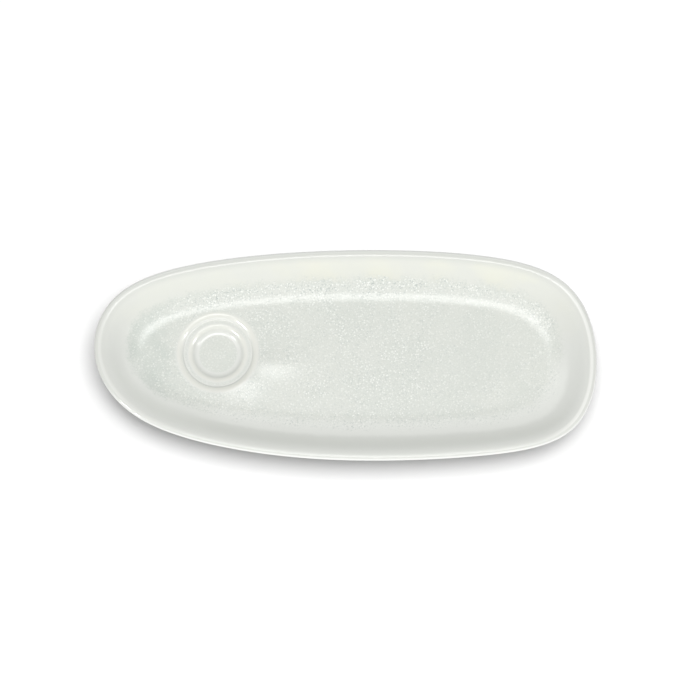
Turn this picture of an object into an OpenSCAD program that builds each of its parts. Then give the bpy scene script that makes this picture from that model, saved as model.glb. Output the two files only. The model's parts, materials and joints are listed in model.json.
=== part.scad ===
// Asparagus plate: one long plate of fired clay with a rolled rim, a dished wall,
// a flat floor, and a round well of two steps for a dip bowl near its narrow end.
// It stands on a foot ring. Glaze covers all of it but the foot.
// The origin lies on the table under the middle of the plate.
// X runs along the plate to its broad end, Y to its far side and Z up.

/* [Plate] */
// Length over the rim
plate_len = 360; // [330:1:400]
// Width over the rim
plate_w = 154; // [150:1:180]
// Height of the rim's crest above the table
plate_h = 28; // [25:0.5:34]
// Radius of the rim's rolled edge
rim_r = 2.2; // [1.8:0.1:2.6]
// Width of the level land on top of the rim, inside the rolled edge
rim_land_w = 1.4; // [0.5:0.1:2]

/* [Floor] */
// Thickness of the floor, with its glaze
floor_t = 5.5; // [5:0.1:6]
// Distance from the edge at which the wall has run out into the flat floor
floor_inset = 36; // [32:0.5:40]

/* [Well] */
// Distance of the well's middle from the narrow end
well_from_end = 87.5; // [80:0.5:150]
// Distance of the well's middle from the long axis, to the far side
well_off_axis = 4.5; // [0:0.5:6]
// Diameter of the flat seat at the bottom of the well
seat_d = 29; // [26:0.5:32]
// Distance in plan from the seat out to the ledge
lower_step_w = 6.9; // [6:0.1:7.5]
// Height from the seat up to the ledge
lower_step_h = 3.4; // [2.8:0.1:4]
// Width of the flat ledge
ledge_w = 3.4; // [2:0.1:4]
// Distance in plan from the ledge out to where the soft shoulder meets the floor
upper_step_w = 4.3; // [3.6:0.1:5.4]
// Height from the ledge up to the floor
upper_step_h = 2.4; // [1.8:0.1:3]
// Thickness of the plate under the seat, with the glaze above it
seat_t = 3.4; // [3:0.1:4]
// Gap between the table and the glaze under the well
well_clear = 1.4; // [1:0.1:2]

/* [Foot] */
// Distance from the edge to the foot ring
foot_inset = 30; // [28:0.5:33]
// Width of the foot ring
foot_w = 5; // [4:0.1:6]
// Radius of the fillet where the underside turns down into the foot ring
foot_fillet = 2; // [1:0.1:2.5]
// Chamfer along the foot ring's lower edges
foot_chamfer = 0.8; // [0.4:0.1:1.2]
// Height of the bare band at the foot, where the glaze was wiped off
bare_h = 1.6; // [1.3:0.1:2.4]

/* [Glaze] */
// Thickness of the glaze
glaze_t = 0.4; // [0.3:0.05:0.6]

/* [Hidden] */

// What a cut runs past the faces it opens, and a shape into the one it joins
overrun = 1;
// How far the glaze of the well laps into the flat glaze round it, which is less
// than the least width of the flat there
glaze_lap = 0.5;

// The outline is a closed smooth curve drawn in by these points, which stand
// counter-clockwise around it as shares of half the length and half the width.
outline_shares = [
    [1.03, 0.01], [0.93, 0.73], [0.61, 0.97], [0, 1.02],
    [-0.58, 0.91], [-0.95, 0.64], [-1.03, -0.01], [-0.89, -0.56],
    [-0.59, -0.85], [-0.07, -1.03], [0.59, -0.97], [0.95, -0.8]
];
// Facets along each span of the outline
span_facets = 8;
// How far the crest stays level, and how far the wall runs out level into the
// floor, as shares of the way from the crest to the floor
crest_level_share = 0.25;
floor_level_share = 0.66;
// The same at the two ends of the underside, from the rim to the foot ring
under_rim_share = 0.35;
under_foot_share = 0.35;
// How far the rolled edge turns, from the crest outwards and back under
rim_turn = 140;
// The same two shares for each step of the well, from its upper edge down
upper_step_shares = [0.8, 0.05];
lower_step_shares = [0.6, 0.54];
// Segments along each stretch of the section
wall_facets = 12;
rim_facets = 5;
under_facets = 8;
fillet_facets = 2;
step_facets = 8;
$fn = 96;

half_len = plate_len / 2;
half_w = plate_w / 2;
well_x = well_from_end - half_len;
well_y = well_off_axis;

// The well's heights, from the table up
boss_h = well_clear + glaze_t;
seat_h = boss_h + seat_t;
ledge_h = seat_h + lower_step_h;
floor_h = ledge_h + upper_step_h;
under_h = floor_h - floor_t;

// The well's radii, from its middle outwards
seat_r = seat_d / 2;
lower_r = seat_r + lower_step_w;
ledge_r = lower_r + ledge_w;
shoulder_r = ledge_r + upper_step_w;
boss_flat_r = seat_r + seat_t / 2;
boss_r = lower_r + seat_t;

// Curves

// Point at share t of the way along a curve with four control points
function bezier(p, t) =
    pow(1 - t, 3) * p[0] + 3 * pow(1 - t, 2) * t * p[1]
    + 3 * (1 - t) * t * t * p[2] + pow(t, 3) * p[3];

// Points along that curve, its two ends included
function bezier_run(p, facets) = [for (i = [0:facets]) bezier(p, i / facets)];

// Control points of a curve from a to b that is level at both ends
function level_curve(a, b, shares) = [
    a,
    [a.x + shares[0] * (b.x - a.x), a.y],
    [b.x - shares[1] * (b.x - a.x), b.y],
    b
];

// A list without its first entry, and a list turned round
function rest_of(list) = [for (i = [1:len(list) - 1]) list[i]];
function turned(list) = [for (i = [len(list) - 1:-1:0]) list[i]];

function smooth(s) = s * s * (3 - 2 * s);

// The outline

spans = len(outline_shares);
function guide(i) = outline_shares[(i + spans) % spans];

// How much each of four neighbouring guide points counts at share t of a span,
// for the place on the curve and for the way it heads
function place_weights(t) = [
    pow(1 - t, 3) / 6,
    pow(t, 3) / 2 - t * t + 2 / 3,
    pow(1 - t, 3) / 2 - pow(1 - t, 2) + 2 / 3,
    pow(t, 3) / 6
];
function heading_weights(t) = [
    -pow(1 - t, 2) / 2,
    3 * t * t / 2 - 2 * t,
    2 * (1 - t) - 3 * pow(1 - t, 2) / 2,
    t * t / 2
];
function weighed(i, weights) =
    weights[0] * guide(i - 1) + weights[1] * guide(i)
    + weights[2] * guide(i + 1) + weights[3] * guide(i + 2);

raw_outline = [for (i = [0:spans - 1]) for (k = [0:span_facets - 1])
    weighed(i, place_weights(k / span_facets))];
raw_heading = [for (i = [0:spans - 1]) for (k = [0:span_facets - 1])
    weighed(i, heading_weights(k / span_facets))];
raw_low = [for (axis = [0, 1]) min([for (p = raw_outline) p[axis]])];
raw_high = [for (axis = [0, 1]) max([for (p = raw_outline) p[axis]])];
raw_middle = (raw_low + raw_high) / 2;
raw_size = raw_high - raw_low;

// The outline at its real size, and the way inwards, square to it, at each point
outline = [for (p = raw_outline) [
    (p.x - raw_middle.x) * plate_len / raw_size.x,
    (p.y - raw_middle.y) * plate_w / raw_size.y
]];
inwards = [for (h = raw_heading)
    let (along = [h.x * plate_len / raw_size.x, h.y * plate_w / raw_size.y])
    [-along.y, along.x] / norm(along)
];

// Where the wall meets the floor: the outline drawn in along both axes, so that its
// corners stay round, and moved out where a larger well's shoulder would reach it
well_middle = [well_x, well_y];
floor_outline = [for (p = outline)
    let (drawn = p - floor_inset * [p.x / half_len, p.y / half_w], from_well = drawn - well_middle)
    well_middle + from_well * max(1, (shoulder_r + overrun) / norm(from_well))
];

// The outline drawn in by a distance: evenly at the rim, and towards the floor's
// outline further in
function drawn_in(distance) =
    let (share = distance / floor_inset, eased = smooth(min(1, share)))
    [for (i = [0:len(outline) - 1])
        outline[i]
        + (1 - eased) * distance * inwards[i]
        + eased * share * (floor_outline[i] - outline[i])
    ];

// The section, as distances from the edge and heights above the table

crest = [rim_r + rim_land_w, plate_h];
floor_edge = [floor_inset, floor_h];
wall_section = turned(bezier_run(
    level_curve(crest, floor_edge, [crest_level_share, floor_level_share]), wall_facets));

rim_middle = [rim_r, plate_h - rim_r];
rim_section = [for (i = [0:rim_facets])
    let (turn = rim_turn * i / rim_facets)
    rim_middle + rim_r * [-sin(turn), cos(turn)]
];

rim_end = rim_section[rim_facets];
rim_end_heading = [-cos(rim_turn), -sin(rim_turn)];
fillet_start = [foot_inset - foot_fillet, under_h];
under_reach = norm(fillet_start - rim_end);
under_section = rest_of(bezier_run([
    rim_end,
    rim_end + under_rim_share * under_reach * rim_end_heading,
    fillet_start - [under_foot_share * under_reach, 0],
    fillet_start
], under_facets));

fillet_section = [for (i = [1:fillet_facets])
    let (turn = 90 * i / fillet_facets)
    fillet_start + foot_fillet * [sin(turn), cos(turn) - 1]
];

glaze_section = concat(wall_section, rim_section, under_section, fillet_section, [[foot_inset, bare_h]]);

// The clay lies one glaze thickness inside the glaze's face
last = len(glaze_section) - 1;
clay_section = [for (i = [0:last])
    i == 0 ? glaze_section[i] - [0, glaze_t] :
    i == last ? glaze_section[i] + [glaze_t, 0] :
    let (along = glaze_section[i + 1] - glaze_section[i - 1])
    glaze_section[i] + glaze_t * [-along.y, along.x] / norm(along)
];

foot_outer = foot_inset + glaze_t;
foot_inner = foot_inset + foot_w;
foot_section = [
    [foot_outer, foot_chamfer],
    [foot_outer + foot_chamfer, 0],
    [foot_inner - foot_chamfer, 0],
    [foot_inner, foot_chamfer],
    [foot_inner, under_h]
];

// The well's section, as distances from its middle and heights, from the
// shoulder's outer edge down to the seat's edge
well_section = concat(
    bezier_run(level_curve([shoulder_r, floor_h], [ledge_r, ledge_h], upper_step_shares), step_facets),
    bezier_run(level_curve([lower_r, ledge_h], [seat_r, seat_h], lower_step_shares), step_facets)
);
// The boss under the well, from its root at the underside to its flat bottom
boss_section = bezier_run(
    level_curve([boss_r, under_h], [boss_flat_r, boss_h], lower_step_shares), step_facets);

function lowered(section, drop) = [for (p = section) [p.x, p.y - drop]];

// Building shapes

// A closed solid whose rings follow the outline, each drawn in and raised as its
// point of the section says, from the ring round the top cap to that round the bottom
module swept(section) {
    rings = len(section);
    around = len(outline);
    skin = [for (r = [0:rings - 2]) for (k = [0:around - 1])
        let (a = r * around, b = a + around, next = (k + 1) % around)
        each [[a + k, a + next, b + next], [a + k, b + next, b + k]]
    ];
    top_cap = [for (k = [around - 1:-1:0]) k];
    bottom_cap = [for (k = [0:around - 1]) (rings - 1) * around + k];
    polyhedron(
        points = [for (s = section) for (p = drawn_in(s[0])) [p.x, p.y, s[1]]],
        faces = concat([top_cap], skin, [bottom_cap])
    );
}

// Places a shape that was drawn round the origin at the well's middle
module at_well() {
    translate([well_x, well_y, 0]) children();
}

// A round skin one glaze thickness deep under a section, with a level lip that
// laps into the glaze around it
module turned_skin(section) {
    lip = [section[0].x + glaze_lap, section[0].y];
    face = concat([lip], section, [[0, section[len(section) - 1].y]]);
    rotate_extrude() polygon(concat(face, turned(lowered(face, glaze_t))));
}

// Pieces

// Fired clay: floor, wall, rolled rim, well, the boss under it, and the foot ring
module clay_body() {
    color("#d9cdb8") difference() {
        union() {
            swept(concat(clay_section, foot_section));
            at_well() boss();
        }
        at_well() well_hollow();
    }
}

// The clay that stands below the underside to carry the well
module boss() {
    root_h = under_h + overrun;
    rotate_extrude() polygon(concat([[0, root_h], [boss_r, root_h]], boss_section, [[0, boss_h]]));
}

// What the well takes out of the clay, open upwards
module well_hollow() {
    mouth_h = floor_h + overrun;
    clay_face = lowered(well_section, glaze_t);
    bottom = [0, seat_h - glaze_t];
    rotate_extrude() polygon(concat([[0, mouth_h], [shoulder_r, mouth_h]], clay_face, [bottom]));
}

// Glaze over the floor, wall and rim, in the well, and down the outside to the foot
module outer_glaze() {
    color("#dfe3dc") union() {
        difference() {
            swept(concat(glaze_section, turned(clay_section)));
            at_well() translate([0, 0, under_h]) cylinder(r = shoulder_r, h = plate_h);
        }
        at_well() turned_skin(well_section);
    }
}

// Glaze on the underside within the foot ring, and round the boss
module foot_glaze() {
    color("#dfe3dc") union() {
        difference() {
            translate([0, 0, under_h - glaze_t]) linear_extrude(glaze_t) polygon(drawn_in(foot_inner));
            at_well() translate([0, 0, boss_h]) cylinder(r = boss_r, h = floor_h);
        }
        at_well() turned_skin(boss_section);
    }
}

clay_body();
outer_glaze();
foot_glaze();
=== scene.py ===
"""An asparagus plate of glazed stoneware: its looks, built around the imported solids.

Everything is in metres, in the frame of the solids: X runs along the plate to its broad
end, Y to its far side and Z up from the table.
"""

import json
import math

import bpy
import numpy as np
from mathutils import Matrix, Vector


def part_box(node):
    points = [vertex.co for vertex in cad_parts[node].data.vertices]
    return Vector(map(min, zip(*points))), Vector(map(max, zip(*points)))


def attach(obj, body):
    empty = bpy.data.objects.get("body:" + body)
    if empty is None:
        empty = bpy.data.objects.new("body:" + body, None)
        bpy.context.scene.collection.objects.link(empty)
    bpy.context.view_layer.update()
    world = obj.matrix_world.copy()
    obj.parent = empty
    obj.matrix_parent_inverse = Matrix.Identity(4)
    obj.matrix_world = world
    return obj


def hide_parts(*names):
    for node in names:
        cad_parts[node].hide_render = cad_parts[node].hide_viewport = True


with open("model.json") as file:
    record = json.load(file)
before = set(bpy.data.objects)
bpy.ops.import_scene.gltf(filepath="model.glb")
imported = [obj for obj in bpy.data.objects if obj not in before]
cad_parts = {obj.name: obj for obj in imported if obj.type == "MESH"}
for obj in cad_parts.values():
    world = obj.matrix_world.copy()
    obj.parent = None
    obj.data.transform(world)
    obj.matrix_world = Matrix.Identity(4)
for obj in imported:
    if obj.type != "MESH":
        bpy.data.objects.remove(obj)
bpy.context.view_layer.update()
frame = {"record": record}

# Sizes taken from the solids

MM = 0.001
mounts = {mount["name"]: mount["pos_m"] for mount in frame["record"]["mounts"]}
skin_low, skin_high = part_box("outer_glaze")
under_low, under_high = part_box("foot_glaze")

plate_size = np.array(skin_high - skin_low)[:2]
crest_height = skin_high.z
bare_height = skin_low.z
floor_height = mounts["floor"][2]
ledge_height = mounts["dip_ledge"][2]
seat_height = mounts["dip_seat"][2]
well_middle = np.array(mounts["dip_seat"][:2])
under_height = under_high.z
boss_height = under_low.z

# Sizes of the section, from the edge inwards

glaze_depth = 0.4 * MM
rim_radius = 2.2 * MM
rim_land = 1.4 * MM
floor_inset = 36 * MM
foot_inset = 30 * MM
foot_width = 5 * MM
foot_fillet = 2 * MM
foot_chamfer = 0.8 * MM

# What a point on the floor, in the well or on the underside notes as its distance from the edge
noted_on_floor = floor_inset + 20 * MM

# Sizes of the well, from its middle outwards

seat_radius = 14.5 * MM
lower_radius = 21.4 * MM
ledge_radius = 24.8 * MM
shoulder_radius = 29.1 * MM
least_floor = 1 * MM
boss_flat_radius = 16.2 * MM
boss_radius = 24.8 * MM

# Gentle swells of the floor beside the well: where each lies from the well's middle, how far it
# reaches along and across the plate, and how high it is
SWELLS = (
    {"from_well": (19 * MM, -20 * MM), "reach": (12 * MM, 10 * MM), "height": 1 * MM},
    {"from_well": (33 * MM, -7 * MM), "reach": (24 * MM, 9 * MM), "height": 0.75 * MM},
)

# The outline is a closed smooth curve drawn in by these points, which stand
# counter-clockwise around it as shares of half the length and half the width.
OUTLINE_SHARES = np.array([
    (1.03, 0.01), (0.93, 0.73), (0.61, 0.97), (0, 1.02),
    (-0.58, 0.91), (-0.95, 0.64), (-1.03, -0.01), (-0.89, -0.56),
    (-0.59, -0.85), (-0.07, -1.03), (0.59, -0.97), (0.95, -0.8),
])

# How far each curve of the section holds its level start and its level end, as shares of its run
WALL_LEVEL_SHARES = (0.25, 0.66)
UPPER_STEP_SHARES = (0.8, 0.05)
LOWER_STEP_SHARES = (0.6, 0.54)

# The rim turns over by this angle. The curve from there to the foot holds the rim's heading at its
# start, and is level at its end, for this share of its length.
RIM_TURN = math.radians(140)
UNDER_SHARE = 0.35

# How finely the pieces are divided, and the least angle that shows as an edge
AROUND = 384
FINE = {"wall": 44, "rim": 14, "under": 18, "fillet": 4, "floor": 30, "step": 22, "ledge": 9, "flat": 24}
COARSE = {"wall": 16, "rim": 6, "under": 8, "fillet": 4, "floor": 8, "step": 6, "ledge": 2, "flat": 3}
SHARP_ANGLE = math.radians(38)


# Curves


def smooth(share):
    return share * share * (3 - 2 * share)


def bezier_run(points, facets):
    """Points along a curve with four control points, its two ends included."""
    p = np.array(points, float)
    t = np.linspace(0, 1, facets + 1)[:, None]
    return (1 - t) ** 3 * p[0] + 3 * (1 - t) ** 2 * t * p[1] + 3 * (1 - t) * t ** 2 * p[2] + t ** 3 * p[3]


def level_curve(start, end, shares, facets):
    """Points of a curve that is level at both ends."""
    run = end[0] - start[0]
    return bezier_run([
        start,
        (start[0] + shares[0] * run, start[1]),
        (end[0] - shares[1] * run, end[1]),
        end,
    ], facets)


def guided_outline(count):
    """The closed smooth curve that the guide points draw in, and the way inwards at each of its
    points."""
    spans = len(OUTLINE_SHARES)
    place = np.arange(count) * spans / count
    span = place.astype(int)
    t = place - span

    # How much each of the four nearest guide points counts, for the place and for the heading
    place_weights = (
        (1 - t) ** 3 / 6,
        t ** 3 / 2 - t ** 2 + 2 / 3,
        (1 - t) ** 3 / 2 - (1 - t) ** 2 + 2 / 3,
        t ** 3 / 6,
    )
    heading_weights = (
        -(1 - t) ** 2 / 2,
        3 * t ** 2 / 2 - 2 * t,
        2 * (1 - t) - 3 * (1 - t) ** 2 / 2,
        t ** 2 / 2,
    )
    guides = [OUTLINE_SHARES[(span + step) % spans] for step in (-1, 0, 1, 2)]

    points = sum(w[:, None] * g for w, g in zip(place_weights, guides))
    heading = sum(w[:, None] * g for w, g in zip(heading_weights, guides))
    low, high = points.min(0), points.max(0)
    scale = plate_size / (high - low)
    along = heading * scale
    inwards = np.stack([-along[:, 1], along[:, 0]], 1) / np.linalg.norm(along, axis=1)[:, None]
    return (points - (low + high) / 2) * scale, inwards


outline, inwards = guided_outline(AROUND)
floor_outline = outline - floor_inset * outline / (plate_size / 2)
from_well = floor_outline - well_middle
well_distance = np.linalg.norm(from_well, axis=1)[:, None]
from_well_heading = from_well / well_distance
floor_outline = well_middle + from_well_heading * np.maximum(well_distance, shoulder_radius + least_floor)


# Rings that the pieces are swept from: each is a list of points round the plate


def drawn_in(distance, height):
    """The outline drawn in by a distance: evenly at the rim, and towards the floor's edge further in."""
    share = distance / floor_inset
    eased = smooth(min(1, share))
    flat = outline + (1 - eased) * distance * inwards + eased * share * (floor_outline - outline)
    return np.column_stack([flat, np.full(AROUND, height)])


def round_well(radius, height):
    """A circle round the well's middle."""
    flat = well_middle + radius * from_well_heading
    return np.column_stack([flat, np.full(AROUND, height)])


def across_floor(share, height):
    """A ring between the floor's edge and the well's shoulder."""
    flat = floor_outline + share * (well_middle + shoulder_radius * from_well_heading - floor_outline)
    return np.column_stack([flat, np.full(AROUND, height)])


def offset_section(section, depth):
    """The section moved into the clay by a depth, square to itself."""
    along = np.gradient(section, axis=0)
    along /= np.linalg.norm(along, axis=1)[:, None]
    return section + depth * np.column_stack([-along[:, 1], along[:, 0]])


def outside_section(facets):
    """From the floor's edge up the wall, over the rim and down the outside to the foot, as
    distances from the edge and heights."""
    wall = level_curve(
        (rim_radius + rim_land, crest_height), (floor_inset, floor_height),
        WALL_LEVEL_SHARES, facets["wall"])[::-1]
    land = [(rim_radius, crest_height)]
    turn = np.linspace(0, RIM_TURN, facets["rim"] + 1)[1:]
    rim = np.array([rim_radius, crest_height - rim_radius]) + rim_radius * np.column_stack(
        [-np.sin(turn), np.cos(turn)])
    rim_heading = np.array([-math.cos(RIM_TURN), -math.sin(RIM_TURN)])
    fillet_start = np.array([foot_inset - foot_fillet, under_height])
    reach = UNDER_SHARE * np.linalg.norm(fillet_start - rim[-1])
    under = bezier_run([
        rim[-1],
        rim[-1] + reach * rim_heading,
        fillet_start - np.array([reach, 0]),
        fillet_start,
    ], facets["under"])[1:]
    turn = np.linspace(0, math.pi / 2, facets["fillet"] + 1)[1:]
    fillet = fillet_start + foot_fillet * np.column_stack([np.sin(turn), np.cos(turn) - 1])
    return np.concatenate([wall, land, rim, under, fillet, [(foot_inset, bare_height)]])


def well_section(facets):
    """From the well's shoulder down to the seat's edge, as distances from its middle and heights."""
    across_ledge = np.linspace(ledge_radius, lower_radius, facets["ledge"] + 1)[1:-1]
    return np.concatenate([
        level_curve((shoulder_radius, floor_height), (ledge_radius, ledge_height),
                    UPPER_STEP_SHARES, facets["step"]),
        [(radius, ledge_height) for radius in across_ledge],
        level_curve((lower_radius, ledge_height), (seat_radius, seat_height),
                    LOWER_STEP_SHARES, facets["step"]),
    ])


def swelled(rings):
    """Rings of the upper face, raised where the floor swells beside the well."""
    for ring in rings:
        from_middle = ring[:, :2] - well_middle
        up_the_step = (np.linalg.norm(from_middle, axis=1) - ledge_radius) / (shoulder_radius - ledge_radius)
        outside_well = smooth(np.clip(up_the_step, 0, 1))
        for swell in SWELLS:
            shares = (from_middle - np.array(swell["from_well"])) / np.array(swell["reach"])
            ring[:, 2] += outside_well * swell["height"] * np.exp(-np.sum(shares ** 2, axis=1))
    return rings


def upper_face(facets, depth):
    """Rings from the seat's middle outwards, over the floor and the rim and down to the foot. They
    lie a depth inside the glaze's face."""
    rings = [round_well(seat_radius * share, seat_height - depth)
             for share in np.linspace(0, 1, facets["flat"] + 1)[1:-1]]
    rings += [round_well(radius, height - depth) for radius, height in well_section(facets)[::-1]]
    rings += [across_floor(1 - share, floor_height - depth)
              for share in np.linspace(0, 1, facets["floor"] + 1)[1:-1]]
    outside = offset_section(outside_section(facets), depth)
    rings += [drawn_in(distance, height) for distance, height in outside]
    return swelled(rings)


def foot_face():
    """Rings over the bare foot ring, with a chamfer on each side of its ground face."""
    outer_side = foot_inset + glaze_depth
    inner_side = foot_inset + foot_width
    return [
        drawn_in(outer_side, foot_chamfer),
        drawn_in(outer_side + foot_chamfer, 0),
        drawn_in(inner_side - foot_chamfer, 0),
        drawn_in(inner_side, foot_chamfer),
    ]


def lower_face(facets, depth):
    """Rings over the underside from the foot ring's inner side to the middle of the boss. They lie
    a depth below the clay's face."""
    boss = level_curve((boss_radius, under_height), (boss_flat_radius, boss_height),
                       LOWER_STEP_SHARES, facets["step"])
    inner = drawn_in(foot_inset + foot_width, under_height - depth)
    outer_round = round_well(boss_radius, under_height - depth)
    rings = [inner + share * (outer_round - inner) for share in np.linspace(0, 1, facets["floor"] + 1)[:-1]]
    rings += [round_well(radius, height - depth) for radius, height in boss]
    rings += [round_well(boss_flat_radius * share, boss_height - depth)
              for share in np.linspace(1, 0, facets["flat"] + 1)[1:-1]]
    return rings


def swept_piece(name, rings, material, node):
    """A closed piece whose skin runs from ring to ring, from a middle point at the first ring to
    one at the last, and which stands for a node of the solids."""
    points = np.concatenate(rings)
    first = np.array([*well_middle, rings[0][0, 2]])
    last = np.array([*well_middle, rings[-1][0, 2]])
    corners = np.concatenate([points, [first, last]])
    start, end = len(points), len(points) + 1
    last_ring = len(points) - AROUND
    faces = []
    for ring in range(0, last_ring, AROUND):
        following = ring + AROUND
        for k in range(AROUND):
            after = (k + 1) % AROUND
            faces.append((ring + k, following + k, following + after, ring + after))
    for k in range(AROUND):
        after = (k + 1) % AROUND
        faces.append((start, k, after))
        faces.append((end, last_ring + after, last_ring + k))
    mesh = bpy.data.meshes.new(name)
    mesh.from_pydata(corners.tolist(), [], faces)
    mesh.materials.append(material)
    mesh.polygons.foreach_set("use_smooth", [True] * len(mesh.polygons))
    mesh.set_sharp_from_angle(angle=SHARP_ANGLE)
    mesh.validate()
    piece = bpy.data.objects.new(name, mesh)
    bpy.context.scene.collection.objects.link(piece)
    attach(piece, "root")
    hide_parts(node)
    return piece


def note_on_points(piece, name, values):
    """Keeps a number at each point of a piece, for its material to read."""
    kept = piece.data.attributes.new(name, "FLOAT", "POINT")
    kept.data.foreach_set("value", np.asarray(values, np.float32))


def note_well_distances(piece):
    """Notes how far each point lies from the well's middle."""
    places = np.array([point.co[:] for point in piece.data.vertices])
    note_on_points(piece, "from_well", np.linalg.norm(places[:, :2] - well_middle, axis=1))


def note_edge_distances(piece, top_rings):
    """Notes how far each point of the glazed plate lies from the edge: its own distance on the wall
    and the rim, well past the floor's edge on the floor and in the well, and 0 elsewhere."""
    section = outside_section(FINE)
    rings_below_rim = FINE["under"] + FINE["fillet"] + 1
    distances = np.full(len(top_rings), noted_on_floor)
    distances[-len(section):] = section[:, 0]
    distances[-rings_below_rim:] = 0
    noted = np.zeros(len(piece.data.vertices))
    noted[:len(top_rings) * AROUND] = np.repeat(distances, AROUND)
    seat_middle = -2
    noted[seat_middle] = noted_on_floor
    note_on_points(piece, "from_edge", noted)


# Materials


class Reading:
    """A number that varies over a surface, which plain arithmetic can be done on."""

    def __init__(self, finish, socket):
        self.finish = finish
        self.socket = socket

    def math(self, operation, *values):
        return self.finish.node("ShaderNodeMath", {"operation": operation}, values)

    def __add__(self, other):
        return self.math("ADD", self, other)

    def __radd__(self, other):
        return self.math("ADD", other, self)

    def __sub__(self, other):
        return self.math("SUBTRACT", self, other)

    def __rsub__(self, other):
        return self.math("SUBTRACT", other, self)

    def __mul__(self, other):
        return self.math("MULTIPLY", self, other)

    def __rmul__(self, other):
        return self.math("MULTIPLY", other, self)


class Finish:
    """A material, or the world's light, that is put together from nodes."""

    def __init__(self, owner):
        owner.use_nodes = True
        self.owner = owner
        self.tree = owner.node_tree
        self.tree.nodes.clear()

    def node(self, kind, settings=None, sockets=(), output=0):
        """Adds a node: its settings first, then its sockets, by place or by name."""
        made = self.tree.nodes.new(kind)
        for setting, value in (settings or {}).items():
            setattr(made, setting, value)
        named = sockets.items() if isinstance(sockets, dict) else enumerate(sockets)
        for key, value in named:
            if isinstance(value, Reading):
                self.tree.links.new(value.socket, made.inputs[key])
            else:
                made.inputs[key].default_value = value
        return Reading(self, made.outputs[output]) if made.outputs else made

    def attribute(self, name):
        return self.node("ShaderNodeAttribute", {"attribute_name": name}, (), "Fac")

    def place(self):
        """The point's place on the piece, in metres."""
        return self.node("ShaderNodeTexCoord", None, (), "Object")

    def coordinate(self, axis):
        return self.node("ShaderNodeSeparateXYZ", None, (self.place(),), axis)

    def noise(self, size, detail, roughness):
        """Soft noise whose features have about the given size in metres."""
        return self.node("ShaderNodeTexNoise", None, {
            "Vector": self.place(), "Scale": 1 / size, "Detail": detail, "Roughness": roughness}, "Fac")

    def cells(self, size):
        """Distance from the middle of scattered cells of about the given size."""
        return self.node("ShaderNodeTexVoronoi", None, {
            "Vector": self.place(), "Scale": 1 / size}, "Distance")

    def above(self, value, low, high):
        """0 below low, 1 above high, and smooth between."""
        return self.node("ShaderNodeMapRange", {"interpolation_type": "SMOOTHSTEP"}, {
            "Value": value, "From Min": low, "From Max": high})

    def below(self, value, low, high):
        """1 below low, 0 above high, and smooth between."""
        return 1 - self.above(value, low, high)

    def between(self, value, low, full, waning, high):
        """1 from full to waning, 0 below low and above high, and smooth between."""
        return self.above(value, low, full) - self.above(value, waning, high)

    def most(self, first, second):
        """The larger of two values."""
        return self.node("ShaderNodeMath", {"operation": "MAXIMUM"}, (first, second))

    def blend(self, factor, first, second):
        """A colour between two colours."""
        return self.node("ShaderNodeMix", {"data_type": "RGBA", "clamp_factor": True}, {
            0: factor, 6: first, 7: second}, 2)

    def bump(self, height, distance, strength, over=None):
        """A relief, which may lie over another."""
        sockets = {"Strength": strength, "Distance": distance, "Height": height}
        if over is not None:
            sockets["Normal"] = over
        return self.node("ShaderNodeBump", None, sockets)

    def surface(self, sockets):
        shader = self.node("ShaderNodeBsdfPrincipled", None, sockets)
        self.node("ShaderNodeOutputMaterial", None, {"Surface": shader})
        return self.owner

    def seen_or_mirrored(self):
        """1 for what the camera sees, straight or mirrored in the glaze, and 0 for what lights."""
        seen, mirrored, seen_through = [
            self.node("ShaderNodeLightPath", None, (), ray)
            for ray in ("Is Camera Ray", "Is Glossy Ray", "Is Transmission Ray")]
        return self.node("ShaderNodeMath", {"operation": "ADD", "use_clamp": True}, (
            seen + mirrored, seen_through))


def tone(red, green, blue):
    """A colour written as screen values from 0 to 255, as the light in a material."""
    levels = [value / 255 for value in (red, green, blue)]
    return (*[level / 12.92 if level <= 0.04045 else ((level + 0.055) / 1.055) ** 2.4
              for level in levels], 1)


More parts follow.
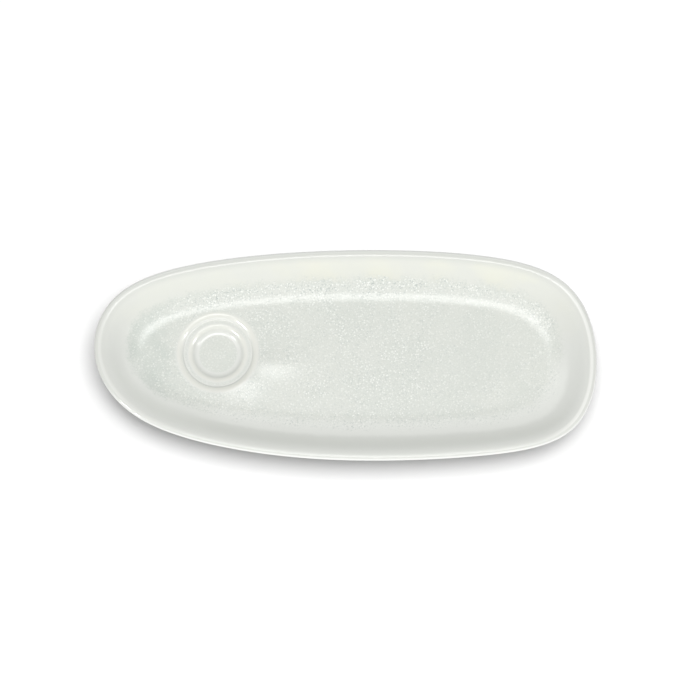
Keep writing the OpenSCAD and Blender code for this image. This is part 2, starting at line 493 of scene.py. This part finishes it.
class PearlGlaze(Finish):
    """The plate's glaze, with painted light and shade in some of its colours. Each mask is 1 where what it
    is named for shows.
    """

    wall = tone(228, 230, 225)
    # A painted sheen on the far wall: warmer, and lighter towards the rim
    far_sheen_foot = tone(228, 229, 217)
    far_sheen_top = tone(235, 236, 224)
    # Painted shade on the rim
    rim_shade_grey = tone(221, 223, 217)
    thick_grey = tone(222, 225, 218)
    # Pooled glaze tone, also used as painted shade at the narrow end
    pooled_and_shade_grey = tone(204, 211, 204)
    gap_grey = tone(194, 201, 196)
    thin_cream = tone(233, 234, 226)
    # A milky white, also used to paint light
    milky_and_painted_light = tone(240, 242, 237)
    # Whites of painted highlights and glints
    end_highlight_white = tone(241, 242, 237)
    far_highlight_white = tone(238, 240, 236)
    edge_glint_white = tone(247, 248, 245)
    well_highlight_white = tone(246, 247, 243)
    crystal_white = tone(245, 247, 242)

    def __init__(self):
        super().__init__(bpy.data.materials.new("pearl_glaze"))
        self.from_edge = self.attribute("from_edge")
        self.from_well = self.attribute("from_well")
        self.along = self.coordinate("X")
        self.far = self.coordinate("Y")
        self.lace = self.noise(9 * MM, 5, 0.65)
        self.fine_lace = self.noise(1.6 * MM, 3, 0.6)
        self.on_far_side = self.above(self.far, 5 * MM, 35 * MM)
        self.find_thick_glaze()
        self.find_thin_glaze_and_rim_shade()
        self.find_milky_glaze_and_painted_light()
        self.find_painted_highlights()
        self.find_crystals()
        self.paint()

    def find_thick_glaze(self):
        """It has pooled thick on the floor, the ledge and the seat, with a lacy edge, which lies
        nearer the rim on the far side."""
        run = self.from_edge + 0.08 * self.most(self.far, -20 * MM)
        self.run = run + (self.lace - 0.5) * (11 * MM) + (self.fine_lace - 0.5) * (7 * MM)
        on_floor = self.above(self.run, 20 * MM, 26 * MM)
        off_shoulder = self.above(self.from_well + (self.fine_lace - 0.5) * (3 * MM), 28.5 * MM, 32 * MM)
        on_ledge = self.between(self.from_well, 21.5 * MM, 22.8 * MM, 23.4 * MM, 24.4 * MM)
        on_seat = self.below(self.from_well, 13 * MM, 14.4 * MM)
        self.in_well = self.most(on_seat, on_ledge * 0.7)
        self.thick = self.most(on_floor * off_shoulder, self.in_well)
        lace_patches = self.above(self.noise(22 * MM, 2, 0.5), 0.36, 0.6)
        self.lacy_edge = on_floor * self.below(self.run, 28 * MM, 37 * MM) * off_shoulder * (
            0.25 + 0.75 * self.on_far_side) * (0.3 + 0.7 * lace_patches)
        self.narrow_end = self.above(-1 * self.along + (self.lace - 0.5) * (40 * MM), 114 * MM, 142 * MM)
        # Towards the narrow end the glaze is painted a darker grey: partly its pooled tone, partly painted
        # shade that dims the highlight mirrored at that end
        self.narrow_end_pool_and_shade = self.narrow_end * (0.5 + 0.35 * lace_patches)

    def find_thin_glaze_and_rim_shade(self):
        """It has run thin on the well's two shoulders. The rim is found here too, where the colour is greyed
        as painted shade.
        """
        self.on_rim = self.below(self.from_edge + 0.04 * self.most(-1 * self.far, 0), 4.5 * MM, 10 * MM)
        inner_shoulder = self.between(self.from_well, 17.5 * MM, 19.5 * MM, 20.8 * MM, 22 * MM)
        outer_shoulder = self.between(self.from_well, 25.4 * MM, 26.6 * MM, 28.5 * MM, 30.5 * MM)
        self.thin = inner_shoulder + outer_shoulder

    def find_milky_glaze_and_painted_light(self):
        """The near wall of the narrow end is painted lighter, as painted light. Where the wall meets the
        floor a milky line runs on the near side, widened as painted light that lifts the shade there, and on
        the far side a faint painted highlight lies along it.
        """
        near_narrow_end = self.above(-1 * self.along, 80 * MM, 130 * MM) * self.below(
            self.far, -25 * MM, 5 * MM)
        self.painted_light_near_end_wall = near_narrow_end * self.above(self.from_edge, 5 * MM, 11 * MM)
        wavy = self.from_edge + (self.lace - 0.5) * (3 * MM)
        foot_of_wall = self.between(wavy, 17 * MM, 21 * MM, 26 * MM, 36 * MM)
        on_near_side = self.below(self.far, -20 * MM, 10 * MM)
        # On the near side: partly a milky line in the glaze, partly painted light that lifts the shade at
        # the wall's foot
        self.near_foot_milky_and_painted_light = foot_of_wall * on_near_side * (1 - 0.8 * near_narrow_end)
        # A faint painted highlight along the foot of the far wall
        self.far_foot_painted_highlight = self.on_far_side * self.between(self.run, 23 * MM, 27 * MM, 32 * MM, 36 * MM)

    def find_painted_highlights(self):
        """Painted highlights run along the edge, inside the rim at both ends, and on the well's far side."""
        # A painted highlight along the inside of the rim, full at the broad end and weaker at the narrow end
        ends = self.most(
            self.above(self.along, 135 * MM, 165 * MM),
            0.4 * self.above(-1 * self.along, 135 * MM, 165 * MM))
        self.end_rim_highlight = self.between(self.from_edge, 2.4 * MM, 3.2 * MM, 4.4 * MM, 5.8 * MM) * ends
        # A painted glint along the outermost edge, on the near side and at the broad end
        near_or_broad = self.most(
            self.below(self.far, -45 * MM, -15 * MM),
            self.above(self.along, 130 * MM, 165 * MM))
        self.outer_edge_glint = near_or_broad * self.below(self.from_edge, 0.6 * MM, 1.4 * MM)
        # A painted highlight just inside the edge, on the far side only
        self.far_edge_highlight = self.above(self.far, 30 * MM, 60 * MM) * self.below(
            self.from_edge, 1.6 * MM, 2.8 * MM)
        # Painted highlights at the foot of each step of the well, on its far side only
        seat_highlight = self.between(self.from_well, 13.8 * MM, 14.5 * MM, 15.2 * MM, 16 * MM)
        ledge_highlight = self.between(self.from_well, 24.6 * MM, 25.2 * MM, 25.8 * MM, 26.4 * MM)
        self.well_painted_highlights = (seat_highlight + ledge_highlight * 0.7) * self.above(self.far, 6 * MM, 18 * MM)

    def find_crystals(self):
        """White crystals are scattered through the thick glaze, with dark gaps between them."""
        flakes = self.below(self.cells(2.1 * MM), 0.14, 0.4)
        small_flakes = self.below(self.cells(1.2 * MM), 0.12, 0.42)
        gaps = self.above(self.noise(1.5 * MM, 3, 0.7), 0.52, 0.64)
        patches = self.above(self.noise(16 * MM, 3, 0.6), 0.38, 0.66)
        towards_broad_end = self.above(self.along, 40 * MM, 110 * MM)
        sparse = self.most(self.most(self.narrow_end, self.in_well), towards_broad_end * 0.8)
        density = self.thick * (0.5 + 0.35 * patches + 0.7 * self.lacy_edge) * (1 - 0.35 * sparse)
        self.crystals = density * self.most(flakes, small_flakes * 0.7)
        self.dark_gaps = density * gaps * (1 - flakes)

    def paint(self):
        """Lays each colour over the ones before it, where its mask lets it show. Some of these colours are
        painted light and shade.
        """
        cloud = self.above(self.noise(30 * MM, 2, 0.5), 0.36, 0.64)
        # The far wall is painted warmer, and lighter towards the rim, in patches: a painted sheen on that
        # side only
        up_wall = self.below(self.from_edge, 10 * MM, 22 * MM)
        far_sheen = self.blend(up_wall, self.far_sheen_foot, self.far_sheen_top)
        past_narrow_end = self.above(self.along, -110 * MM, -30 * MM)
        far_sheen_share = self.on_far_side * (0.3 + 0.65 * cloud) * (0.35 + 0.65 * past_narrow_end)
        # The thick glaze darkens a little in random clouds, and towards the narrow end as painted shade
        deep_and_shaded = self.blend(self.most(self.narrow_end_pool_and_shade, cloud * 0.2), self.thick_grey, self.pooled_and_shade_grey)
        colour = self.blend(far_sheen_share, self.wall, far_sheen)
        for share, coat in (
            # The rim is painted greyer: painted shade
            (self.on_rim * 0.9, self.rim_shade_grey),
            # The near wall of the narrow end is painted lighter: painted light
            (self.painted_light_near_end_wall * 0.6, self.milky_and_painted_light),
            (self.thick, deep_and_shaded),
            (self.thin * 0.8, self.thin_cream),
            # Painted highlights in the well
            (self.well_painted_highlights * 0.8, self.well_highlight_white),
            # Milky line with painted light at the near foot of the wall, and a faint painted highlight at
            # the far foot
            (self.near_foot_milky_and_painted_light * 0.85 + self.far_foot_painted_highlight * 0.15, self.milky_and_painted_light),
            # Painted highlight at the far edge
            (self.far_edge_highlight * 0.6, self.far_highlight_white),
            # Painted glint on the outer edge
            (self.outer_edge_glint * 0.8, self.edge_glint_white),
            # Painted highlight inside the rim at the ends
            (self.end_rim_highlight * 0.9, self.end_highlight_white),
            (self.dark_gaps * (0.6 + 0.25 * self.lacy_edge), self.gap_grey),
            (self.crystals * 0.9, self.crystal_white),
        ):
            colour = self.blend(share, colour, coat)

        roughness = 0.12 + 0.05 * self.on_rim + 0.03 * self.thick + 0.16 * self.crystals
        roughness = roughness - 0.04 * self.in_well + 0.05 * self.thin
        grain = self.bump(self.crystals - self.dark_gaps, 0.06 * MM, 0.6)
        ripple = self.bump(self.noise(18 * MM, 2, 0.4), 0.25 * MM, 0.35, grain)
        self.surface({
            "Base Color": colour, "Roughness": roughness, "Normal": ripple, "IOR": 1.5})


def fired_clay():
    """Bare clay, cloudy and speckled with coarse grains."""
    dark_clay = tone(205, 193, 172)
    light_clay = tone(222, 212, 194)
    brown_grog = tone(168, 148, 122)
    finish = Finish(bpy.data.materials.new("fired_clay"))
    specks = finish.below(finish.cells(0.9 * MM), 0.1, 0.3)
    cloud = finish.noise(8 * MM, 4, 0.6)
    colour = finish.blend(cloud, dark_clay, light_clay)
    colour = finish.blend(specks * 0.5, colour, brown_grog)
    grain = finish.bump(finish.noise(0.6 * MM, 3, 0.6), 0.05 * MM, 0.6)
    return finish.surface({
        "Base Color": colour, "Roughness": 0.72 + 0.12 * cloud, "Normal": grain, "IOR": 1.5})


def grey(level):
    """A grey written as the light in a material."""
    return (level, level, level, 1)


def white_paper():
    """Matte paper that shows a little brighter than it lights, and fades to white far from the plate."""
    lighting_level = 0.4
    shown_level = 0.5
    fade_start = 0.5
    fade_end = 1.1
    finish = Finish(bpy.data.materials.new("white_paper"))
    shown = finish.seen_or_mirrored()
    lighting = finish.node("ShaderNodeBsdfDiffuse", None, {"Color": grey(lighting_level)})
    paper = finish.node("ShaderNodeBsdfDiffuse", None, {"Color": grey(shown_level)})
    near_paper = finish.node("ShaderNodeMixShader", None, (shown, lighting, paper))
    white = finish.node("ShaderNodeEmission", None, {"Color": grey(1), "Strength": 1})
    from_plate = finish.node("ShaderNodeVectorMath", {"operation": "LENGTH"}, (finish.place(),), "Value")
    far_off = finish.above(from_plate, fade_start, fade_end) * shown
    faded = finish.node("ShaderNodeMixShader", None, (far_off, near_paper, white))
    finish.node("ShaderNodeOutputMaterial", None, {"Surface": faded})
    return finish.owner


def white_studio():
    """The light from all round, and the white that shows behind the plate."""
    lighting_strength = 0.42
    finish = Finish(bpy.data.worlds.new("studio"))
    lighting = finish.node("ShaderNodeBackground", None, {"Color": grey(1), "Strength": lighting_strength})
    white = finish.node("ShaderNodeBackground", None, {"Color": grey(1), "Strength": 1})
    both = finish.node("ShaderNodeMixShader", None, (finish.seen_or_mirrored(), lighting, white))
    finish.node("ShaderNodeOutputWorld", None, {"Surface": both})
    return finish.owner


# The plate

glaze = PearlGlaze().owner
clay = fired_clay()
top = upper_face(FINE, 0)
buried_top = upper_face(COARSE, glaze_depth)

glazed = swept_piece("glazed_plate", top + buried_top[::-1], glaze, "outer_glaze")
body = swept_piece(
    "bare_foot", buried_top + foot_face() + lower_face(COARSE, 0), clay, "clay_body")
underside = swept_piece(
    "glazed_underside", lower_face(COARSE, glaze_depth)[::-1] + lower_face(COARSE, 0),
    glaze, "foot_glaze")

note_well_distances(glazed)
note_well_distances(underside)
note_edge_distances(glazed, top)
note_on_points(underside, "from_edge", np.full(len(underside.data.vertices), noted_on_floor))

# The table top

table_reach = 3
table = bpy.data.meshes.new("table_top")
table.from_pydata([(x * table_reach, y * table_reach, 0) for x, y in ((-1, -1), (1, -1), (1, 1), (-1, 1))],
                  [], [(0, 1, 2, 3)])
table.materials.append(white_paper())
table_top = bpy.data.objects.new("table_top", table)
bpy.context.scene.collection.objects.link(table_top)

# Lamps


def soft_lamp(name, width, depth, radiance, lights):
    """A soft rectangular lamp that faces straight down from the origin and lights only some things."""
    lamp = bpy.data.lights.new(name, "AREA")
    lamp.shape = "RECTANGLE"
    lamp.size = width
    lamp.size_y = depth
    lamp.energy = radiance * math.pi * width * depth
    holder = bpy.data.objects.new(name, lamp)
    holder.visible_camera = False
    bpy.context.scene.collection.objects.link(holder)
    lit = bpy.data.collections.new(name + "_lights")
    for thing in lights:
        lit.objects.link(thing)
    holder.light_linking.receiver_collection = lit
    return holder


def aimed(lamp, azimuth, elevation, distance, spot=(0, 0)):
    """The lamp, placed so that it faces a spot on the plate, so many degrees round from the broad
    end and above the table."""
    around, above = math.radians(azimuth), math.radians(elevation)
    heading = (math.cos(around) * math.cos(above), math.sin(around) * math.cos(above), math.sin(above))
    lamp.location = np.array([*spot, 0]) + distance * np.array(heading)
    lamp.rotation_euler = (math.pi / 2 - above, 0, around + math.pi / 2)
    return lamp


plate = (glazed, body, underside)

# Two lamps overhead light the plate and are mirrored in it. The wider one hangs just above the other.
overhead_depth = 0.87
overhead_y = -0.06
overhead_height = 2.8
overhead_gap = 0.01
overhead = soft_lamp("overhead", width=0.9, depth=overhead_depth, radiance=3.1, lights=plate)
overhead.location = (0, overhead_y, overhead_height)
overhead_spill = soft_lamp("overhead_spill", width=1.4, depth=overhead_depth, radiance=2.3, lights=plate)
overhead_spill.location = (0, overhead_y, overhead_height + overhead_gap)

# Small narrow-beamed lamps show only where the well's two rings mirror them
far_right_of_rings = well_middle + (16 * MM, 16 * MM)
far_left_of_rings = well_middle + (-19 * MM, 11.5 * MM)
left_ring_lamp = aimed(
    soft_lamp("left_ring_lamp", width=0.1, depth=0.1, radiance=1.1, lights=plate),
    azimuth=215, elevation=45, distance=0.35, spot=far_right_of_rings)
right_ring_lamp = aimed(
    soft_lamp("right_ring_lamp", width=0.047, depth=0.047, radiance=0.55, lights=plate),
    azimuth=-17, elevation=45, distance=0.2, spot=far_left_of_rings)
for lamp, beam in ((left_ring_lamp, 18), (right_ring_lamp, 13)):
    lamp.visible_diffuse = False
    lamp.data.spread = math.radians(beam)

# Lamps on the near side light the plate and aren't mirrored in it
near_side = aimed(
    soft_lamp("near_side", width=3.6, depth=1.2, radiance=0.95, lights=plate),
    azimuth=-90, elevation=21, distance=1.6)
near_sky = aimed(
    soft_lamp("near_sky", width=3, depth=1.6, radiance=1.74, lights=plate),
    azimuth=-90, elevation=76, distance=2.85)
for lamp in (near_side, near_sky):
    lamp.visible_glossy = False

# The table has a lamp of its own, whose shadow falls towards the near side and the narrow end
table_lamp = soft_lamp("table_lamp", width=2.67, depth=2.33, radiance=9.9, lights=[table_top])
table_lamp.location = (0.38, 0.24, 3)

bpy.context.scene.world = white_studio()

# The camera stands on the near side, high above the plate

camera_elevation = math.radians(78)
camera_distance = 1.4
looked_at = np.array([3.28, 3.45, 24]) * MM
camera_lens = bpy.data.cameras.new("camera")
camera_lens.sensor_width = 36
camera_lens.lens = 100.4
camera = bpy.data.objects.new("camera", camera_lens)
camera.location = looked_at + camera_distance * np.array(
    [0, -math.cos(camera_elevation), math.sin(camera_elevation)])
camera.rotation_euler = (math.pi / 2 - camera_elevation, 0, 0)
bpy.context.scene.collection.objects.link(camera)
bpy.context.scene.camera = camera
bpy.context.scene.view_settings.view_transform = "Standard"
